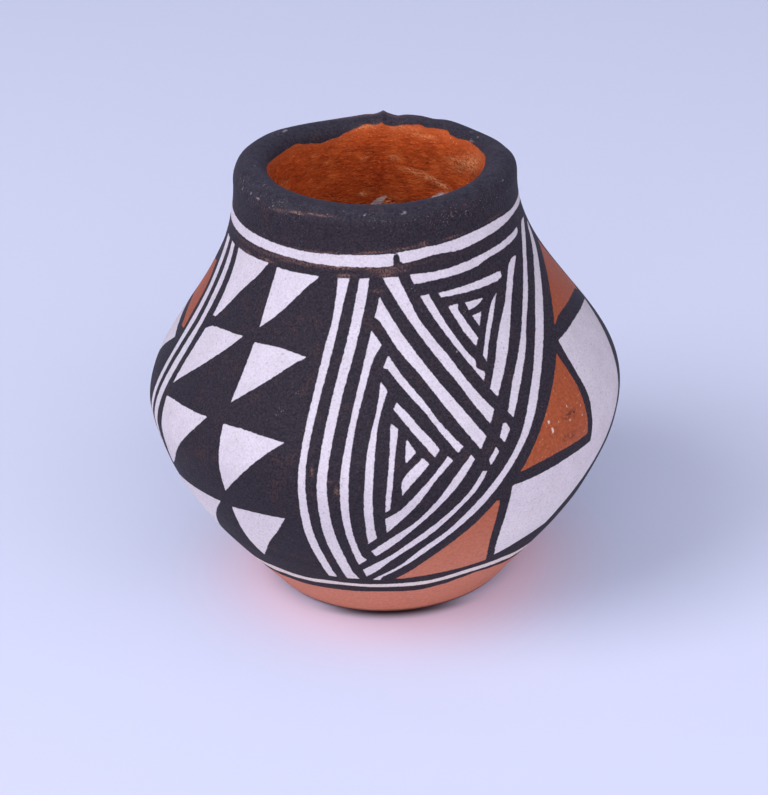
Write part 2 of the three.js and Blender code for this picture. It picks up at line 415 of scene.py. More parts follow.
white_diagonal_band = [
    [(21.5, 37), (17.5, 33.8), (10, 29.1), (5, 26), (0, 22.8), (-4.9, 20.1), (-9.2, 17.8), (-8.8, 15.4),
     (-4.9, 17.7), (0, 21.4), (5, 24.4), (10, 27.5), (15, 31.1), (20, 34.4), (22.6, 36.9)],
    [(23.4, 38.4), (25.7, 39.9), (26.3, 39.2), (23.7, 37.6)],
    [(27.3, 41.1), (29, 42.7), (29.9, 42.7), (30.5, 41.7), (28.1, 40.2)],
    [(31.5, 44.1), (35, 47.1), (38.3, 49.2), (45, 52.8), (55, 57.9), (65, 62), (75.5, 65.7), (83.5, 65.7),
     (80, 65.1), (70, 62.5), (60, 58.6), (50, 54.2), (45, 51.2), (38.3, 47.3), (32.3, 43.1)],
    [(-7.3, 14.3), (-2.5, 16.8), (2, 19.4), (7.4, 23.6), (13.3, 27.2), (20, 32.1), (26.7, 36.5), (33.3, 40.7),
     (40, 45.6), (50, 51.6), (60, 56.4), (70, 59.9), (80, 62.6), (85, 64), (89, 64), (85, 62), (75, 59.5),
     (65, 56.1), (55, 51.9), (45, 46.7), (36.7, 41.2), (30, 37.2), (20, 30.2), (10, 23.5), (5, 20.2),
     (0, 17.3), (-4, 15.2), (-4.5, 14.2)],
]
white_upper_diamond = [
    [(11.4, 65.7), (25, 65.5), (45, 65.9), (69.7, 66.2), (66.7, 65.3), (45.7, 65), (37.5, 64.5),
     (12.5, 64.3)],
    [(20.9, 62.5), (45, 62.6), (49.3, 62.5), (46, 61.5), (21.7, 61.8)],
    [(30, 60.3), (37.5, 60.1), (34.3, 59.4), (30.6, 59.2)],
    [(14.1, 62.6), (17.3, 62.6), (20, 59.6), (25, 54.2), (27.3, 52.3), (26.9, 51.2), (28.9, 50.3),
     (27.8, 49.1), (24.7, 52.5), (20, 57), (15, 61.7)],
    [(23.4, 60.4), (27.1, 60.4), (26.7, 59.7), (30.6, 55.1), (29.1, 54.1), (26.6, 56.4), (25, 58.5)],
    [(30.2, 52.6), (34.9, 56.2), (40, 59), (43.8, 60), (40, 58), (33.8, 54.2), (30.7, 51.6)],
    [(28.8, 47.9), (33, 51.1), (38.3, 54.9), (46.7, 58.8), (53.3, 62.2), (57.3, 63.2), (61, 63.1),
     (55, 61.1), (48.3, 57.9), (42.3, 54.3), (35, 49.7), (30.1, 46.5)],
    [(31.1, 58.3), (35, 58.4), (32.5, 56.6)],
]
white_steps = [
    [(32, 16.1), (35.8, 16.6), (42.4, 17.8), (50.4, 18.8), (55.6, 23.4), (59, 25.9), (66, 30), (76, 36.2),
     (84, 41), (89, 44), (95.5, 47.2), (86.7, 48.7), (73.3, 49.7), (58.7, 49.6), (58.2, 46), (58.3, 41),
     (57, 37.8), (56.1, 33.9), (46.7, 33.9), (35, 33.4), (29.3, 33.3), (28.9, 29), (29.2, 24.1),
     (30.2, 19.5)],
]
orange_steps = [
    [(0, 14.3), (5, 17.2), (10, 20.5), (15, 23.9), (20, 27.3), (25.3, 31.4), (26.2, 31.3), (26.4, 26),
     (27.3, 20.6), (29.5, 15.2), (15, 14.8)],
    [(31.3, 35.2), (35, 37.8), (40, 40.8), (46.7, 44.4), (55, 48.3), (55.8, 43), (55, 38.9), (54.2, 35.7),
     (42, 35.7)],
    [(61.3, 51.6), (70, 55.2), (80, 58.4), (92, 60.2), (95.5, 57), (97.5, 52), (98.4, 49.6), (95, 49.2),
     (91.7, 50.4), (81.7, 51.6), (68.3, 52.2)],
]
# Lines that run all the way round, as heights at a few angles; the second half repeats the first.
collar_edge = [(-84, 69.2), (-60, 69), (-30, 68.8), (0, 68.9), (20, 69.2), (50, 69.6), (75, 69.2)]
neck_line_edge = [(-84, 67.7), (-45, 67.6), (-10, 67.2), (3, 67.1), (10, 67.4), (22, 67.85), (33, 67.6),
                  (50, 68), (70, 68.3), (85, 68)]
foot_line_top = [(-84, 11.5), (-62, 11.1), (-50, 11.7), (-44, 12.1), (-32, 12.3), (-22, 12.75), (-12, 12.55),
                 (10, 12.5), (25, 13.5), (37, 13.1), (47, 12.5), (60, 11.3), (72, 11), (80, 11.5)]
foot_line_edge = [(-84, 10.2), (-62, 9.3), (-50, 9.8), (-40, 10.65), (-30, 11.15), (-18, 11.6), (-6, 11.45),
                  (8, 11.2), (25, 12), (39, 11.5), (46, 10.9), (60, 9.9), (72, 9.6), (80, 10.2)]
foot_black_edge = [(-84, 8.3), (-62, 7.6), (-50, 8.4), (-40, 9), (-20, 9.4), (-5, 9.7), (8, 9.2), (17, 9.9),
                   (23, 10.6), (29, 11), (36, 10.5), (46, 9.8), (60, 8.2), (72, 7.8), (80, 8.3)]
lining_edge = [(-90, 79.6), (0, 79.6), (60, 79.5), (90, 78.8), (100, 78.8), (110, 78.7), (120, 78.5),
               (130, 78.8), (134, 78.8), (138, 78.3), (145, 78.5), (150, 78.5), (154, 78.3), (159, 78.6),
               (167, 78.8), (173, 79), (177, 78.95), (184, 78.7), (189, 79), (195, 79.5), (201, 80.1),
               (211, 80.45), (219, 80.2), (228, 79.8), (235, 80), (245, 80.1), (254, 80), (262, 79.75)]
# A drop of black paint that ran down over the white line round the neck.
black_blots = [
    [(5.2, 67), (5.6, 67.7), (5.7, 68.3), (6.2, 68.75), (7.2, 68.8), (8, 68.4), (8.2, 67.8), (9, 67.4),
     (9.6, 67)],
]
# Wear and dirt, each mark as (degrees, reach, half length, half width, lean in degrees, strength).
thin_paint = [
    (-14, 67.15, 2.4, 0.22, 0, 1), (-22, 67.3, 2, 0.15, 0, 0.7), (-36, 67.4, 3.5, 0.12, 0, 0.4),
    (-3.7, 67, 0.3, 0.25, 0, 1), (-4, 69.15, 2.2, 0.16, 4, 0.6), (-22, 69, 4, 0.1, 0, 0.3),
    (9, 69.45, 3, 0.14, 3, 0.5), (17.6, 69.7, 0.55, 0.3, 0, 0.7), (30, 69.75, 1.8, 0.12, 3, 0.5),
    (54, 70.1, 2.2, 0.12, 0, 0.3), (-47, 66.2, 1.6, 0.2, 0, 0.5), (-59.5, 66, 1.2, 0.18, 0, 0.4),
    (-12.5, 65.95, 1, 0.2, 0, 0.7), (2.5, 65.9, 1, 0.16, 0, 0.6), (-43, 73.5, 1.2, 0.1, 0, 0.55),
    (-33.5, 73.95, 2.8, 0.1, 5, 0.9), (-1, 63.8, 0.8, 0.2, 0, 0.3), (3, 66.6, 2, 0.5, 0, 0.4),
    (-17.9, 38.6, 0.2, 0.7, 0, 0.5), (-11.2, 37.5, 0.15, 0.3, 0, 0.9), (-12.3, 36, 0.25, 0.6, 0, 0.6),
    (-14.3, 37.4, 0.5, 0.15, 0, 0.6), (-20.5, 32, 0.2, 0.25, 0, 0.7), (-30, 67.1, 15, 0.25, 0, 0.3),
    (-27, 74.1, 2.6, 0.08, 2, 0.9), (48.3, 40, 1.4, 0.35, 8, 1), (50.4, 39.9, 0.6, 0.6, 0, 1),
    (47.6, 37.1, 0.9, 0.6, 0, 0.8), (45.4, 37.2, 0.9, 0.4, 0, 0.7), (180, 76.4, 6, 0.5, -3, 0.45),
]
# Pale crumbs and thin, buff streaks in the slip inside the neck; the soft marks along the lining's top edge
# are a painted highlight.
lining_crumbs_and_highlight = [
    (117, 82.4, 4.4, 1.5, 23, 0.9), (126, 84.6, 2, 0.6, 20, 0.6), (131, 82.6, 1, 0.25, 10, 0.9),
    (106, 80.6, 2, 0.6, 20, 0.7), (158, 86.8, 1.8, 0.35, -10, 1), (150, 87.6, 1.8, 0.45, -14, 1),
    (143.5, 88.4, 1.3, 0.45, -10, 1.2), (186, 90.4, 0.7, 0.3, 10, 1.2), (185, 84.4, 0.6, 0.2, 0, 1),
    (214.5, 82.4, 0.5, 0.2, 0, 0.8), (207, 84.2, 0.5, 0.2, 0, 0.6), (169, 84.4, 0.8, 0.5, 0, 0.6),
    (174.5, 92.3, 1.4, 0.9, 0, 1), (236, 85.3, 1.2, 0.3, 0, 0.7), (182, 79, 2, 0.3, 0, 0.4),
    (163, 79.1, 2.5, 0.35, 0, 0.3), (150, 80, 2, 0.3, 0, 0.5), (222, 91.5, 1.5, 0.4, 0, 0.4),
]
# Hollows in the slip, where the light doesn't reach.
deep_lining = [
    (178, 86.8, 3.2, 1.8, 80, 0.6), (187.8, 90.6, 0.6, 0.35, 0, 1), (171.5, 91.8, 0.5, 0.9, 0, 0.6),
    (155, 86.3, 2.6, 0.14, -8, 1), (147, 88.9, 2.2, 0.3, -14, 0.8), (186, 82.7, 2.5, 0.25, 0, 0.7),
    (179, 83.5, 1.2, 0.3, 0, 0.7), (205, 81.5, 0.8, 0.2, 0, 0.6), (216, 83.8, 1, 0.3, 0, 0.5),
    (190, 82.4, 3.5, 0.7, 10, 0.3), (150, 83, 3, 0.8, -10, 0.3),
]
# Clay that the slip missed: two crumbs on the far side, and all of it below the neck.
bare_inside = [(179.8, 92.3, 2.2, 0.6, 40, 1), (149, 90.95, 2.6, 0.65, 32, 1)]
bare_below = 94
# Dust and pale chips, on the black and on the orange; the broad, faint patches on the lip are painted sheen.
dust_and_sheen_marks = [
    (-68.6, 73.7, 0.35, 0.2, 0, 0.7), (-55, 73.95, 0.6, 0.16, 0, 0.8), (-45.3, 74, 0.3, 0.2, 0, 0.6),
    (-41.8, 74.6, 0.45, 0.2, 0, 0.55), (-20.3, 74.4, 0.3, 0.2, 0, 0.6), (-15.4, 74.1, 0.2, 0.17, 0, 0.5),
    (-10, 74.3, 0.2, 0.17, 0, 0.5), (-5, 74.8, 0.4, 0.18, 35, 0.8), (-1.2, 74, 0.25, 0.2, 0, 0.7),
    (2, 75.3, 0.4, 0.3, 0, 0.35), (10.9, 74.85, 0.4, 0.28, 15, 0.9), (6.8, 74, 0.2, 0.35, 0, 0.45),
    (24, 74.3, 0.9, 0.4, 25, 0.4), (21.3, 73.7, 0.35, 0.2, 0, 0.4), (28.6, 73.1, 0.18, 0.17, 0, 0.5),
    (30.5, 73.1, 0.2, 0.17, 0, 0.5), (45.5, 73.6, 0.3, 0.2, 0, 0.5), (45.4, 72.3, 0.2, 0.2, 0, 0.5),
    (48.3, 74.4, 0.3, 0.17, 0, 0.35), (55.7, 73.3, 0.4, 0.17, 0, 0.4), (64, 74.5, 0.5, 0.18, 0, 0.7),
    (64.3, 72.7, 0.5, 0.17, 0, 0.6), (-27, 74.2, 1.2, 0.08, 8, 0.6), (-32.2, 74.1, 0.25, 0.17, 0, 0.8),
    (-57, 76.1, 2, 0.6, -10, 0.25), (-1, 75.3, 0.5, 1.1, 0, 0.25), (-50, 74, 9, 0.9, 3, 0.2),
    (30, 73.3, 9, 1.2, -3, 0.2), (228, 77, 0.9, 0.3, 10, 0.9), (232, 76.7, 1.6, 0.5, 10, 0.4),
    (119, 78.3, 0.8, 0.5, 0, 0.6), (135, 78, 0.5, 0.3, 0, 0.5), (11.8, 63.7, 0.8, 0.7, 60, 0.3),
    (42.2, 39.2, 0.25, 0.55, 0, 1.2), (41.8, 40.5, 0.3, 0.4, 0, 1.1), (44.8, 39.9, 0.15, 0.25, 0, 1),
    (48.4, 39.3, 0.25, 0.25, 0, 1), (49, 41.3, 0.2, 0.35, 0, 1), (53.2, 38.9, 0.25, 0.3, 0, 0.9),
    (53.8, 40.2, 0.15, 0.45, 0, 0.9), (51.8, 40.4, 0.15, 0.2, 0, 0.9), (-79.5, 77.3, 0.8, 0.35, 20, 0.45),
    (-59, 75.9, 1.1, 0.2, 10, 0.5), (-68, 74.4, 1.6, 1.1, 0, 0.3), (-75, 74.5, 0.2, 0.2, 0, 0.7),
    (-60.5, 74, 0.3, 0.25, 30, 0.8), (-62, 73.6, 2, 0.5, 0, 0.25), (-38.5, 73.3, 0.6, 0.09, 4, 0.6),
    (-33, 73.8, 0.45, 0.14, 0, 0.7),
    (126, 76.7, 0.5, 0.3, 20, 0.6), (118.5, 77.1, 0.4, 0.25, 0, 0.7), (-1.5, 74.6, 0.9, 0.9, 0, 0.22),
    (10, 66.5, 1.4, 0.4, 0, 0.35), (28.5, 59, 0.4, 0.5, 0, 0.4), (36.5, 54.7, 0.7, 0.5, 0, 0.4),
    (-24, 49, 0.6, 0.4, 0, 0.4), (22.4, 54, 0.2, 0.2, 0, 1), (-28.5, 46, 0.9, 0.5, 40, 0.3),
]
corner_turn = 38  # degrees; an outline bends smoothly through the points where it turns less than this
far_off = 3.0  # millimetres; distances to an edge are kept no further than this
lowest_shape, highest_shape = 13, 66.6  # the white shapes lie between these reaches
unit_start = -84  # degrees from the front, where a unit of the design begins
drift_round, drift_up = 1.2, 0.3  # how far the second unit strays: degrees, and millimetres


def brushed(points):
    """Closed outline through the points: a Hermite curve over each side, with the Catmull-Rom slope
    (next - last) / 2 where the outline bends gently and the side's own slope at a sharp corner."""
    points = np.array(points, float)
    ahead = np.roll(points, -1, 0) - points
    behind = np.roll(ahead, 1, 0)
    even = ahead * (0.5, 1)
    heading = np.degrees(np.arctan2(even[:, 1], even[:, 0]))
    turn = np.abs((heading - np.roll(heading, 1) + 180) % 360 - 180)
    smooth = (turn < corner_turn)[:, None]
    leave = np.where(smooth, (ahead + behind) / 2, ahead)
    arrive = np.roll(np.where(smooth, (ahead + behind) / 2, behind), -1, 0)
    outline = []
    for t in (0, 0.25, 0.5, 0.75):
        outline.append(points * (1 - t) ** 2 * (1 + 2 * t) + leave * t * (1 - t) ** 2
                       + np.roll(points, -1, 0) * t * t * (3 - 2 * t) - arrive * t * t * (1 - t))
    return np.stack(outline, 1).reshape(-1, 2)


def inside_by(points, angle, reach, degree):
    """How far each place is inside an outline, in millimetres, and negative outside it: the least
    distance to a side, signed by how often a level line from the place crosses the outline."""
    depth = np.full(angle.shape, -far_off)
    (low_a, low_s), (high_a, high_s) = points.min(0), points.max(0)
    room = far_off / degree
    near = ((angle > low_a - room) & (angle < high_a + room)
            & (reach > low_s - far_off) & (reach < high_s + far_off))
    if not near.any():
        return depth
    across, up, scale = angle[near][:, None], reach[near][:, None], degree[near][:, None]
    (a0, s0), (a1, s1) = points.T, np.roll(points, -1, 0).T
    side_x, side_y = (a1 - a0) * scale, s1 - s0
    from_x, from_y = (across - a0) * scale, up - s0
    share = (from_x * side_x + from_y * side_y) / np.maximum(side_x**2 + side_y**2, 1e-9)
    share = np.clip(share, 0, 1)
    distance = np.hypot(from_x - share * side_x, from_y - share * side_y).min(1)
    level = (s0 > up) != (s1 > up)
    with np.errstate(divide="ignore", invalid="ignore"):
        crossing = level & (across < a0 + (up - s0) / (s1 - s0) * (a1 - a0))
    within = crossing.sum(1) % 2 == 1
    depth[near] = np.clip(np.where(within, distance, -distance), -far_off, far_off)
    return depth


def level_line(points, angle, period=180):
    """Height of a line that runs round the pot, between its points by a cosine step, repeating with the
    period."""
    points = np.array(points, float)
    at = (angle - points[0, 0]) % period
    angles = np.append(points[:, 0] - points[0, 0], period)
    heights = np.append(points[:, 1], points[0, 1])
    index = np.clip(np.searchsorted(angles, at, side="right") - 1, 0, len(points) - 1)
    share = (at - angles[index]) / (angles[index + 1] - angles[index])
    share = (1 - np.cos(np.pi * share)) / 2
    return heights[index] * (1 - share) + heights[index + 1] * share


def marked(marks, angle, reach, degree):
    """Strength of soft oval marks: exp(-(along / half length)^2 - (across / half width)^2), each turned
    by its lean, and the strongest of them where they overlap."""
    strongest = np.zeros(angle.shape)
    for at_angle, at_reach, half_length, half_width, lean, strength in marks:
        right = ((angle - at_angle + 180) % 360 - 180) * degree
        above = reach - at_reach
        turn = math.radians(lean)
        along = right * math.cos(turn) + above * math.sin(turn)
        across = above * math.cos(turn) - right * math.sin(turn)
        fade = np.exp(-((along / half_length) ** 2) - (across / half_width) ** 2)
        strongest = np.maximum(strongest, strength * fade)
    return strongest


def painted(angle, reach):
    """For each place, how far it lies inside the white, the orange and the lining, in millimetres, and how
    strong the wear and the dust are; among the wear is a painted highlight at the lining's top edge, and
    among the dust some painted sheen on the lip. A place inside none of the three is black. Outlines of one
    colour join by the greatest of their depths."""
    angle, reach = np.broadcast_arrays(angle, reach)
    degree = np.interp(reach, skin_reach, skin_line[:, 0]) * math.pi / 180
    degree = np.maximum(degree, 0.01)
    outlines = {
        "white": (white_panel_triangles + white_upright_lines + white_falling_lines + white_rising_lines
                  + white_diagonal_band + white_upper_diamond + white_steps),
        "orange": orange_steps,
    }
    depth = {}
    along_unit = angle - unit_start
    by_eye = np.where(along_unit % 360 > 180, np.sin(np.radians(along_unit)) * np.sin(reach / 6 + 1), 0)
    for colour, shapes in outlines.items():
        depth[colour] = np.full(angle.shape, -far_off)
        for points in shapes:
            outline = brushed(points)
            for unit in (-180, 0, 180):
                found = inside_by(outline, angle + unit + drift_round * by_eye,
                                  reach + drift_up * by_eye, degree)
                depth[colour] = np.maximum(depth[colour], found)
    neck_line, foot_line = (
        np.minimum(reach - level_line(low, angle), level_line(high, angle) - reach)
        for low, high in ((neck_line_edge, collar_edge), (foot_line_edge, foot_line_top)))
    on_wall = (reach > lowest_shape) & (reach < highest_shape)
    white = np.where(on_wall, depth["white"], -far_off)
    depth["white"] = np.maximum(np.maximum(white, neck_line), foot_line)
    depth["orange"] = np.maximum(depth["orange"], level_line(foot_black_edge, angle) - reach)
    for points in black_blots:
        depth["white"] = np.minimum(depth["white"], -inside_by(brushed(points), angle, reach, degree))
    depth["lining"] = reach - level_line(lining_edge, angle, 360)
    depth["worn_and_highlight"] = marked(thin_paint + lining_crumbs_and_highlight, angle, reach, degree)
    depth["deep"] = marked(deep_lining, angle, reach, degree)
    depth["bare"] = np.maximum(marked(bare_inside, angle, reach, degree), reach - bare_below)
    depth["dust_and_sheen"] = marked(dust_and_sheen_marks, angle, reach, degree)
    return {name: np.clip(value, -far_off, far_off) for name, value in depth.items()}


# One material for the whole pot: the clay is the same, and the paint lies over the joined courses.
white_slip = (0.665, 0.615, 0.765)
white_slip_dull = (0.595, 0.545, 0.675)
white_slip_grey = (0.45, 0.40, 0.485)
white_slip_pit = (0.30, 0.26, 0.31)
white_slip_low = (0.74, 0.70, 0.83)
white_slip_foot = (0.80, 0.72, 0.76)
black_paint = (0.0085, 0.0062, 0.0130)
black_paint_dry = (0.041, 0.031, 0.047)
black_paint_brown = (0.055, 0.029, 0.033)
worn_paint = (0.34, 0.17, 0.145)
dust_and_sheen_grey = (0.27, 0.245, 0.285)
# Painted sheen for the top of the lip.
lip_painted_sheen = (0.060, 0.059, 0.088)
# Painted shade for the lowest strip of the heel.
heel_painted_shade = (0.030, 0.007, 0.006)
orange_slip = (0.395, 0.086, 0.032)
orange_slip_high = (0.285, 0.060, 0.021)
orange_slip_dark = (0.26, 0.054, 0.021)
# Paler, pinker copies of the orange near the foot: painted light thrown up from the table.
orange_slip_bounce_lit = (0.61, 0.215, 0.152)
orange_slip_dark_bounce_lit = (0.50, 0.168, 0.115)
orange_slip_fleck = (0.60, 0.27, 0.19)
orange_slip_crack = (0.06, 0.012, 0.008)
orange_slip_chip = (0.66, 0.50, 0.50)
lining_slip = (0.635, 0.100, 0.0175)
lining_slip_light = (0.72, 0.148, 0.034)
lining_slip_dark = (0.37, 0.048, 0.0085)
lining_slip_pale = (0.72, 0.25, 0.09)
lining_buff_and_highlight = (0.95, 0.42, 0.20)
# Painted shade for the lining just under the lip.
lining_slip_under_lip_shade = (0.40, 0.072, 0.020)
lining_slip_crack = (0.12, 0.018, 0.006)
bare_clay = (0.66, 0.54, 0.58)
black_roughness = (0.70, 0.70, 0.70)
orange_roughness = (0.50, 0.50, 0.50)
chalk_roughness = (0.75, 0.75, 0.75)
gloss_level = 0.18
relief_depth = 0.12 * millimetre

pot_finish = bpy.data.materials.new("slipped_and_painted_clay")
pot_finish.use_nodes = True
tree = pot_finish.node_tree
surface = tree.nodes["Principled BSDF"]
position = tree.nodes.new("ShaderNodeTexCoord").outputs["Object"]


def wire(kind, inputs, output=0, **settings):
    """Adds a node to the tree in hand, sets or links its inputs by name or number, and gives back one of
    its outputs."""
    node = tree.nodes.new(kind)
    for name, value in settings.items():
        setattr(node, name, value)
    for name, value in inputs.items():
        if isinstance(value, bpy.types.NodeSocket):
            tree.links.new(value, node.inputs[name])
        else:
            node.inputs[name].default_value = value
    return node.outputs[output]


def grain(size, detail=2, roughness=0.5, stretch=1):
    """Noise with features of a size in millimetres, drawn out round the pot by the stretch."""
    squeezed = wire("ShaderNodeMapping", {"Vector": position, "Scale": (1, 1, stretch)})
    return wire("ShaderNodeTexNoise", {"Vector": squeezed, "Scale": 1 / (size * stretch**0.5 * millimetre),
                                       "Detail": detail, "Roughness": roughness})


def band(value, low, high, fade="LINEAR"):
    """0 below the low value, 1 above the high one, and even in between, or turned round where low is the
    larger."""
    return wire("ShaderNodeMapRange", {"Value": value, "From Min": low, "From Max": high},
                interpolation_type=fade)


def sums(first, second, operation="ADD"):
    """Adds two values, or puts them through the operation that is named."""
    return wire("ShaderNodeMath", {0: first, 1: second}, operation=operation)


def tint(share, low, high, blend_type="MIX"):
    """Mixes two colours by a share, or by the darkening or adding that the blend type names."""
    low, high = ((*value, 1) if isinstance(value, tuple) else value for value in (low, high))
    return wire("ShaderNodeMix", {"Factor": share, 6: low, 7: high}, output=2, data_type="RGBA",
                blend_type=blend_type)


wobble = sums(sums(sums(grain(0.8, 3), 0.5, "SUBTRACT"), 0.26, "MULTIPLY"),
              sums(sums(grain(0.2, 2), 0.5, "SUBTRACT"), 0.16, "MULTIPLY"))
layer = {name: wire("ShaderNodeAttribute", {}, output="Fac", attribute_name=name)
         for name in ("white", "orange", "lining", "worn_and_highlight", "deep", "bare", "dust_and_sheen")}
is_white = band(sums(layer["white"], wobble), -0.05, 0.05)
is_orange = band(sums(layer["orange"], wobble), -0.05, 0.05)
ragged = sums(sums(grain(1.6, 3), 0.5, "SUBTRACT"), 0.3, "MULTIPLY")
is_lining = band(sums(layer["lining"], ragged), -0.08, 0.08)
fine_grain = grain(0.3, 3, 0.7)
specks = grain(0.26, 1)

# White slip: chalky, rubbed smooth, with a fine grain, faint grey patches and small dark pits. Low down it
# is lighter and without the grey patches, and the line round the foot is creamy.
rise = sums(wire("ShaderNodeSeparateXYZ", {"Vector": position}, output=2), 1 / millimetre, "MULTIPLY")
clean = tint(band(rise, 27, 18), white_slip, white_slip_low)
clean = tint(band(rise, 12.5, 9.5), clean, white_slip_foot)
chalk = tint(sums(band(grain(3, 4), 0.3, 0.7), band(rise, 18, 27), "MULTIPLY"), clean, white_slip_dull)
chalk = tint(band(fine_grain, 0.43, 0.82), chalk, white_slip_grey)
chalk = tint(sums(band(grain(0.4, 2), 0.64, 0.73), 0.6, "MULTIPLY"), chalk, white_slip_pit)

# Black paint: mineral paint laid on thickly, grainy, browner where it is thin, and lighter and bluer over the
# top of the lip, a painted sheen.
soot = tint(band(fine_grain, 0.35, 0.75), black_paint, black_paint_dry)
thinner = sums(band(grain(2.5, 4), 0.56, 0.76), band(fine_grain, 0.4, 0.62), "MULTIPLY")
soot = tint(thinner, soot, black_paint_brown)
soot = tint(sums(layer["worn_and_highlight"], band(grain(0.22, 2), 0.40, 0.56), "MULTIPLY"), soot, worn_paint)
# Over the top of the lip a bluish film is mixed in: painted sheen.
lip_sheen_share = sums(band(rise, 63.8, 65.5), band(grain(1.1, 4, 0.75), 0.36, 0.62), "MULTIPLY")
soot = tint(sums(lip_sheen_share, 0.34, "MULTIPLY"), soot, lip_painted_sheen)

# Orange slip: thin and rubbed over buff clay. Toward the foot it is paler and pinker, which is painted light
# thrown up from the table, and at the heel it is darkened, a painted shade where it turns under. Up the wall
# it is darker, and there it has fine cracks and pale chips.
# Toward the foot the slip turns paler and pinker: painted bounce light from the table.
foot_bounce_share = band(rise, 32, 7)
russet = tint(band(grain(0.5, 4, 0.65), 0.35, 0.65), tint(foot_bounce_share, orange_slip, orange_slip_bounce_lit),
              tint(foot_bounce_share, orange_slip_dark, orange_slip_dark_bounce_lit))
russet = tint(band(rise, 36, 48), russet, tint(0.7, russet, orange_slip_high))
russet = tint(sums(band(grain(0.35, 2), 0.62, 0.74), 0.5, "MULTIPLY"), russet, orange_slip_fleck)
russet = tint(sums(layer["worn_and_highlight"], band(grain(0.35, 2), 0.46, 0.54), "MULTIPLY"), russet, orange_slip_crack)
russet = tint(band(sums(layer["dust_and_sheen"], sums(specks, 0.6, "MULTIPLY")), 0.8, 1.15), russet, orange_slip_chip)
# The lowest strip of the heel is darkened: painted shade where it turns under toward the table.
russet = tint(band(sums(rise, sums(ragged, 0.6, "MULTIPLY")), 1.8, 0.9), russet, heel_painted_shade)

# Lining: the same slip, thick and uneven inside the neck, dragged round by a finger over crumbly clay.
rust = tint(band(grain(0.8, 5, 0.7, stretch=3), 0.36, 0.66), lining_slip, lining_slip_dark)
rust = tint(sums(band(grain(3.2, 4, stretch=1.5), 0.42, 0.66), 0.55, "MULTIPLY"), rust, lining_slip_dark)
rust = tint(sums(band(grain(2.2, 4, stretch=1.4), 0.5, 0.7), 0.6, "MULTIPLY"), rust, lining_slip_light)
rust = tint(band(grain(0.42, 4, 0.6, stretch=3), 0.58, 0.78), rust, lining_slip_pale)
# Just under the lip the lining is darkened: painted shade.
rust = tint(band(layer["lining"], 2.4, 0.3), rust, tint(0.7, rust, lining_slip_under_lip_shade))
shaded = sums(layer["deep"], band(grain(0.5, 3), 0.3, 0.6), "MULTIPLY")
rust = tint(shaded, rust, lining_slip_dark, "MULTIPLY")
# Buff crumbs, and a painted highlight along the lining's top edge.
crumbs_and_highlight = sums(layer["worn_and_highlight"], band(grain(0.4, 4, 0.7, stretch=1.6), 0.42, 0.56), "MULTIPLY")
rust = tint(sums(crumbs_and_highlight, 0.95, "MULTIPLY"), rust, lining_buff_and_highlight)
rust = tint(sums(band(grain(0.28, 2, stretch=2), 0.66, 0.74), 0.5, "MULTIPLY"), rust, lining_buff_and_highlight)
rust = tint(sums(band(grain(0.22, 2, stretch=2.5), 0.62, 0.72), 0.7, "MULTIPLY"), rust, lining_slip_crack)
rust = tint(band(sums(layer["bare"], sums(grain(0.6, 4, 0.6), 0.8, "MULTIPLY")), 0.75, 0.95), rust, bare_clay)

# The three colours lie over each other, and dust settles on the dry black alone, with a few patches of
# painted sheen on the lip.
colour = tint(is_orange, soot, russet)
colour = tint(is_white, colour, chalk)
colour = tint(is_lining, colour, rust)
is_dry = sums(sums(1.0, is_white, "SUBTRACT"), sums(1.0, is_lining, "SUBTRACT"), "MULTIPLY")
is_dry = sums(is_dry, sums(1.0, is_orange, "SUBTRACT"), "MULTIPLY")
dust_and_sheen_cover = sums(band(specks, 0.66, 0.72), sums(sums(layer["dust_and_sheen"], 2.0, "MULTIPLY"), 0.08), "MULTIPLY")
sifted = sums(band(grain(0.17, 1), 0.69, 0.8), band(grain(1.5, 3), 0.45, 0.7), "MULTIPLY")
dust_and_sheen_cover = sums(dust_and_sheen_cover, sums(sifted, band(rise, 54, 58), "MULTIPLY"), "MAXIMUM")
dust_and_sheen_cover = sums(dust_and_sheen_cover, band(sums(layer["dust_and_sheen"], sums(specks, 0.5, "MULTIPLY")), 0.6, 1.1), "MAXIMUM")
colour = tint(band(sums(dust_and_sheen_cover, is_dry, "MULTIPLY"), 0, 1), colour, dust_and_sheen_grey)
tree.links.new(colour, surface.inputs["Base Color"])
rubbed = tint(is_orange, black_roughness, orange_roughness)
rubbed = tint(is_white, rubbed, chalk_roughness)
rubbed = tint(is_lining, rubbed, chalk_roughness)
surface.inputs["Specular IOR Level"].default_value = gloss_level
tree.links.new(sums(rubbed, sums(grain(0.8, 2), 0.08, "MULTIPLY")), surface.inputs["Roughness"])
tooth = sums(sums(fine_grain, 0.8, "MULTIPLY"), sums(grain(1.1, 3, stretch=3), 0.45, "MULTIPLY"))
coarse = sums(sums(grain(0.7, 5, 0.65, stretch=1.8), is_lining, "MULTIPLY"), 5.0, "MULTIPLY")
relief = wire("ShaderNodeBump", {"Height": sums(tooth, coarse), "Strength": 0.6, "Distance": relief_depth})
tree.links.new(relief, surface.inputs["Normal"])

painted_spacing = 0.21  # fine enough for the edge of a brush line
plain_spacing = 0.8

under = steps(skin_reach[1], heel_round, plain_spacing)[:-1]
base_dish = raise_clay("fine_base_dish", [
    (np.append(under, steps(heel_round, dish_reach, painted_spacing)), 0, 0.72, 2),
    (steps(inner_place(dish_reach - luting_lap), skin_reach[-1] - 0.6, plain_spacing), 0.73, 0.93, 2),
], ends_on_axis=True)
base_dish.data.materials.append(pot_finish)
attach(base_dish, "root")
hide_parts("base_dish")

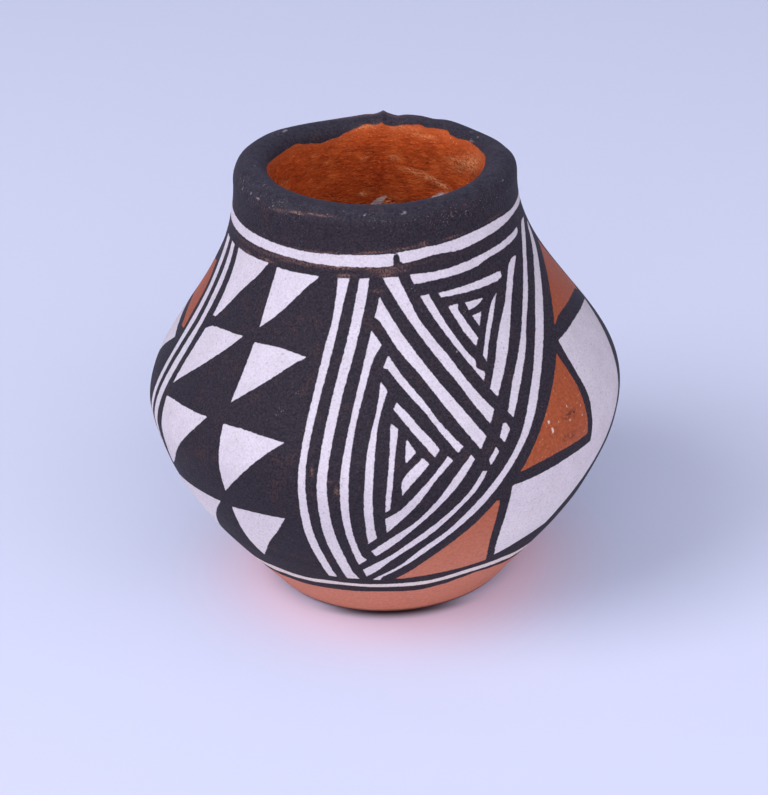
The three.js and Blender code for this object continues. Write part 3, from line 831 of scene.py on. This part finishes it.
# Wall coils
# Six rolled coils of clay, each laid on the last and dragged down over it inside, then scraped level outside.
# Each is its own course of the wall, seated square across it, and the painting runs over all of them.
for number in range(1, coil_count + 1):
    start, end = coil_joints[number - 1], coil_joints[number]
    inner_spacing = 0.4 if number > 4 else 1.2
    wall_coil = raise_clay(f"fine_wall_coil_{number}", [
        (steps(start, end, painted_spacing), 0, 0.66, 4),
        (steps(inner_place(end - luting_lap), inner_place(start - luting_lap), inner_spacing), 0.67, 0.93, 3),
    ])
    wall_coil.data.materials.append(pot_finish)
    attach(wall_coil, "root")
    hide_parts(f"wall_coil_{number}")

# Rim coil
# The last coil is pinched up into the short neck and a thick rounded lip, and painted black over the top.
lip_spacing = 0.26
rim_coil = raise_clay("fine_rim_coil", [
    (steps(coil_joints[-1], inner_place(coil_joints[-1] - luting_lap), lip_spacing), 0, 0.93, 2),
])
rim_coil.data.materials.append(pot_finish)
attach(rim_coil, "root")
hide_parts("rim_coil")

# Floor and light
# A pale lavender table top, lit by one broad soft lamp from the left and filled from all round.
table_reach = 3.0  # metres
table_drop = 0.00003
table_paper = (0.86, 0.82, 0.88)  # for the light that it throws back on the pot
table_plain = (0.715, 0.725, 0.965)
# Painted bounce light from the pot's orange, near the foot.
table_painted_bounce = (0.755, 0.635, 0.835)
table_shade = (0.07, 0.012, 0.008)
# Painted glow that the paper shows to the camera.
paper_painted_glow = (0, 0.02, 0.06)
paper_painted_glow_bounce = (0.035, 0.017, 0.035)
room_colour = (0.63, 0.67, 0.95)
room_light = 0.31

floor_mesh = bpy.data.meshes.new("floor")
floor_corners = [(-1, -1), (1, -1), (1, 1), (-1, 1)]
floor_mesh.from_pydata([(x * table_reach, y * table_reach, -table_drop) for x, y in floor_corners],
                       [], [(0, 1, 2, 3)])
floor = bpy.data.objects.new("floor", floor_mesh)
bpy.context.scene.collection.objects.link(floor)


def in_view():
    """1 for rays that show a thing, straight or in a reflection, and 0 for rays that only carry its light."""
    rays = tree.nodes.new("ShaderNodeLightPath").outputs
    found = sums(rays["Is Camera Ray"], rays["Is Glossy Ray"], "MAXIMUM")
    return sums(found, rays["Is Transmission Ray"], "MAXIMUM")


# From here on the tree in hand is the table's, and then the room's.
table_top = bpy.data.materials.new("pale_table")
table_top.use_nodes = True
tree = table_top.node_tree
table_surface = tree.nodes["Principled BSDF"]
table_surface.inputs["Roughness"].default_value = 0.9
on_table = wire("ShaderNodeTexCoord", {}, output="Object")
from_middle = sums(wire("ShaderNodeVectorMath", {0: on_table}, output="Value", operation="LENGTH"),
                   1 / millimetre, "MULTIPLY")
backward = sums(wire("ShaderNodeSeparateXYZ", {0: on_table}, output="Y"), 1 / millimetre, "MULTIPLY")
# Near the foot it is tinted with the pot's orange, a painted bounce light, fading over a few widths of a
# finger.
painted_bounce = band(from_middle, 38, 13, "SMOOTHSTEP")
table_seen = tint(painted_bounce, table_plain, table_painted_bounce)
# In front, where the heel turns under, the shade on it is deep and brown.
deepest = sums(band(from_middle, 19.3, 16.4, "SMOOTHSTEP"), band(backward, -12.8, -16.8, "SMOOTHSTEP"),
               "MULTIPLY")
table_seen = tint(deepest, table_seen, table_shade)
tree.links.new(tint(in_view(), table_paper, table_seen), table_surface.inputs["Base Color"])
# The paper shows the camera a faint painted glow of blue light, so it never goes quite dark in the shadow.
tree.links.new(tint(painted_bounce, paper_painted_glow, paper_painted_glow_bounce), table_surface.inputs["Emission Color"])
painted_glow = sums(in_view(), sums(1.0, deepest, "SUBTRACT"), "MULTIPLY")
tree.links.new(painted_glow, table_surface.inputs["Emission Strength"])
floor_mesh.materials.append(table_top)

world = bpy.data.worlds.new("soft_room")
bpy.context.scene.world = world
world.use_nodes = True
tree = world.node_tree
room = tree.nodes["Background"]
room.inputs["Color"].default_value = (1, 1, 1, 1)
room.inputs["Strength"].default_value = room_light
shown = wire("ShaderNodeBackground", {"Color": (*room_colour, 1)})
choice = wire("ShaderNodeMixShader", {0: in_view(), 1: room.outputs[0], 2: shown})
tree.links.new(choice, tree.nodes["World Output"].inputs["Surface"])


def soft_lamp(name, stand, width, power):
    """A square lamp at a place, turned to the middle of the pot."""
    lamp_data = bpy.data.lights.new(name, "AREA")
    lamp_data.size = width
    lamp_data.energy = power
    lamp = bpy.data.objects.new(name, lamp_data)
    lamp.location = stand
    lamp.rotation_euler = (aim - Vector(stand)).to_track_quat("-Z", "Y").to_euler()
    bpy.context.scene.collection.objects.link(lamp)


soft_lamp("window_left", (-0.73, -0.36, 0.81), 0.7, 7.3)
soft_lamp("front", (-0.15, -1.0, 0.65), 0.9, 3.85)
soft_lamp("front_right", (0.5, -0.97, 0.58), 0.9, 3.95)
soft_lamp("reflector_right", (0.8, -0.45, 0.7), 0.8, 1.6)

bpy.context.scene.view_settings.view_transform = "Standard"
